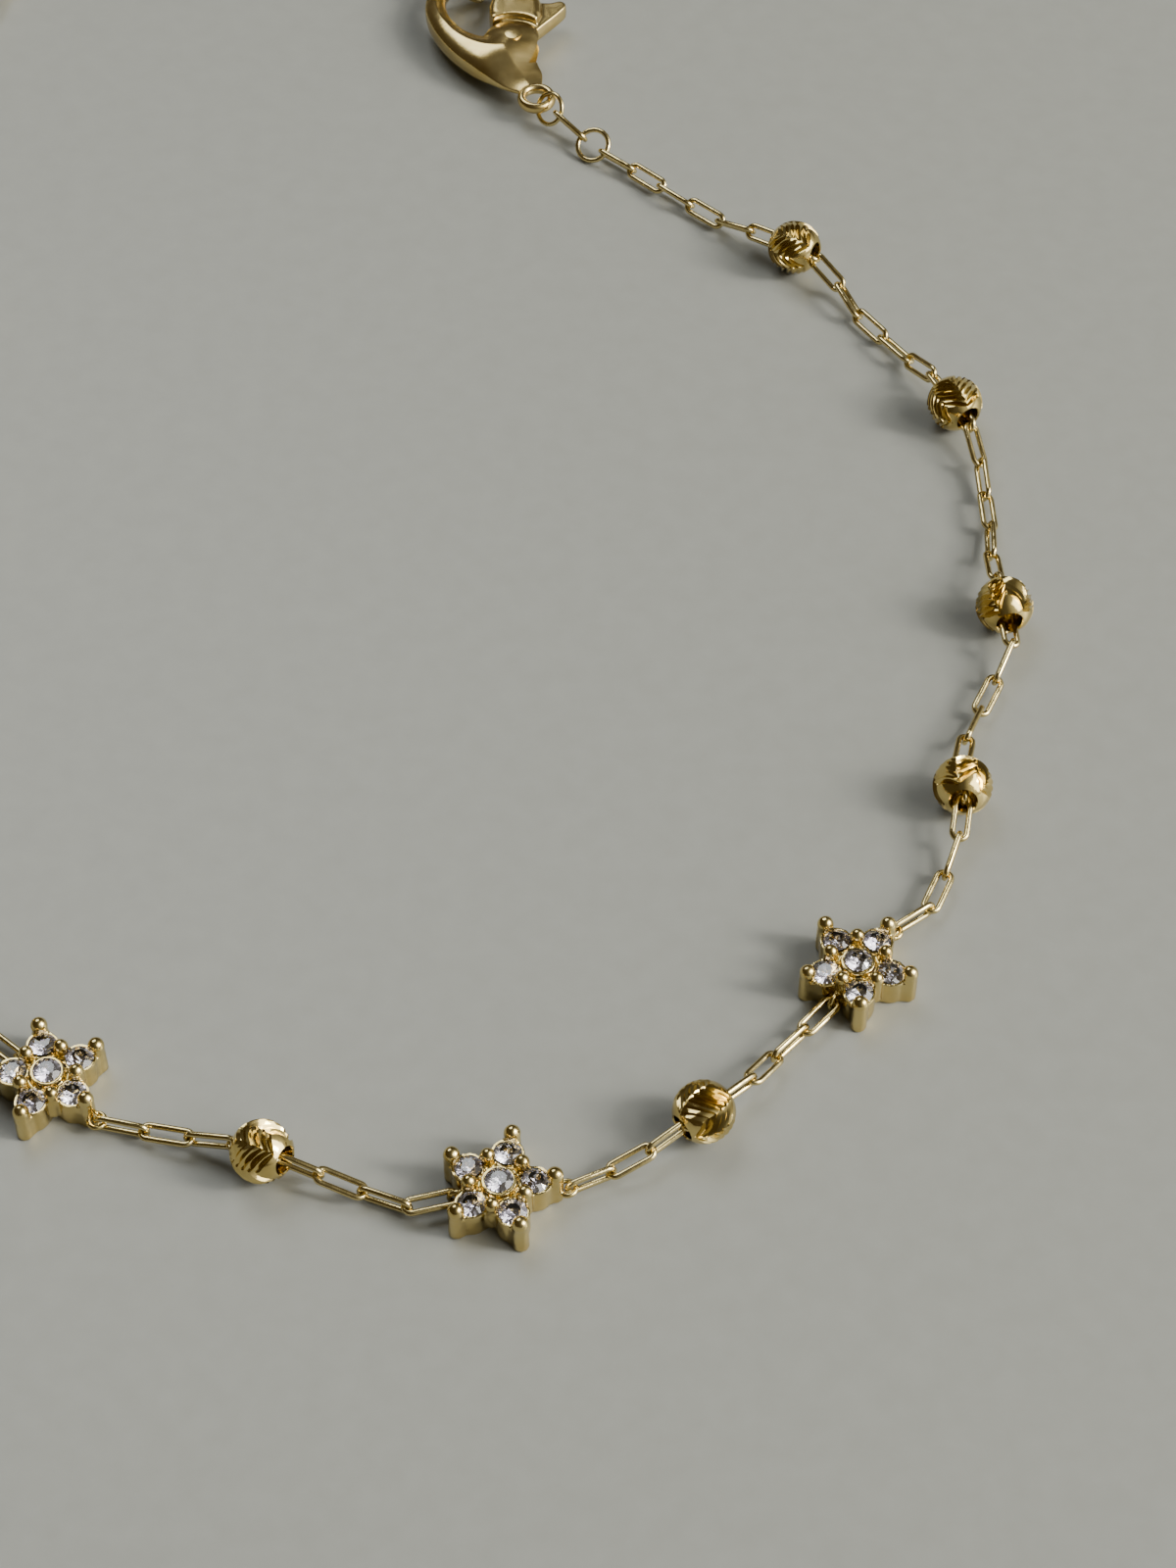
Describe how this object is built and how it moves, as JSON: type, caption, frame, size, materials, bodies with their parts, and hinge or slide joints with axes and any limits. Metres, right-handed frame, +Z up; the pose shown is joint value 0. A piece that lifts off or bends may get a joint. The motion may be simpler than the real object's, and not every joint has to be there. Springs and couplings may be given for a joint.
{
  "type": "star station chain bracelet",
  "caption": "Fine cable-chain bracelet with stone-set star stations, faceted round beads and a lobster clasp, lying fastened on a surface.",
  "frame": {"origin": "centre of the laid-out bracelet's box, on the surface that it lies on", "axes": "+Z up from the surface; +Y along the longer way of the laid-out loop, from the star stations towards the clasp; +X to the side that the beads between clasp and stars lie on"},
  "size_m": [0.0504, 0.0782, 0.0025],
  "materials": {
    "chain_gold": "polished yellow gold plate",
    "ring_gold": "polished yellow gold plate",
    "bead_gold": "bright diamond-cut yellow gold plate",
    "setting_gold": "polished yellow gold plate",
    "clasp_gold": "polished yellow gold plate",
    "stone": "clear faceted crystal"
  },
  "bodies": {
    "bracelet": {"chain_1": "chain_gold", "chain_2": "chain_gold", "chain_3": "chain_gold", "chain_4": "chain_gold", "bead_01": "bead_gold", "bead_02": "bead_gold", "bead_03": "bead_gold", "bead_04": "bead_gold", "bead_05": "bead_gold", "bead_06": "bead_gold", "bead_07": "bead_gold", "bead_08": "bead_gold", "bead_09": "bead_gold", "bead_10": "bead_gold", "star_1_setting": "setting_gold", "star_2_setting": "setting_gold", "star_3_setting": "setting_gold", "star_1_centre_stone": "stone", "star_1_arm_stone_1": "stone", "star_1_arm_stone_2": "stone", "star_1_arm_stone_3": "stone", "star_1_arm_stone_4": "stone", "star_1_arm_stone_5": "stone", "star_2_centre_stone": "stone", "star_2_arm_stone_1": "stone", "star_2_arm_stone_2": "stone", "star_2_arm_stone_3": "stone", "star_2_arm_stone_4": "stone", "star_2_arm_stone_5": "stone", "star_3_centre_stone": "stone", "star_3_arm_stone_1": "stone", "star_3_arm_stone_2": "stone", "star_3_arm_stone_3": "stone", "star_3_arm_stone_4": "stone", "star_3_arm_stone_5": "stone", "clasp_body": "clasp_gold", "tail_ring": "ring_gold", "end_ring": "ring_gold"},
    "clasp_lever": {"clasp_lever": "clasp_gold"}
  },
  "joints": [
    {"name": "clasp_lever_hinge", "type": "hinge", "parent": "bracelet", "child": "clasp_lever", "pos_m": [0.0024, 0.02901, 0.001], "axis": [0, 0, 1], "range_deg": [0, 22], "stiffness_Nm_per_rad": 0.002, "springref_deg": -17.19}
  ]
}
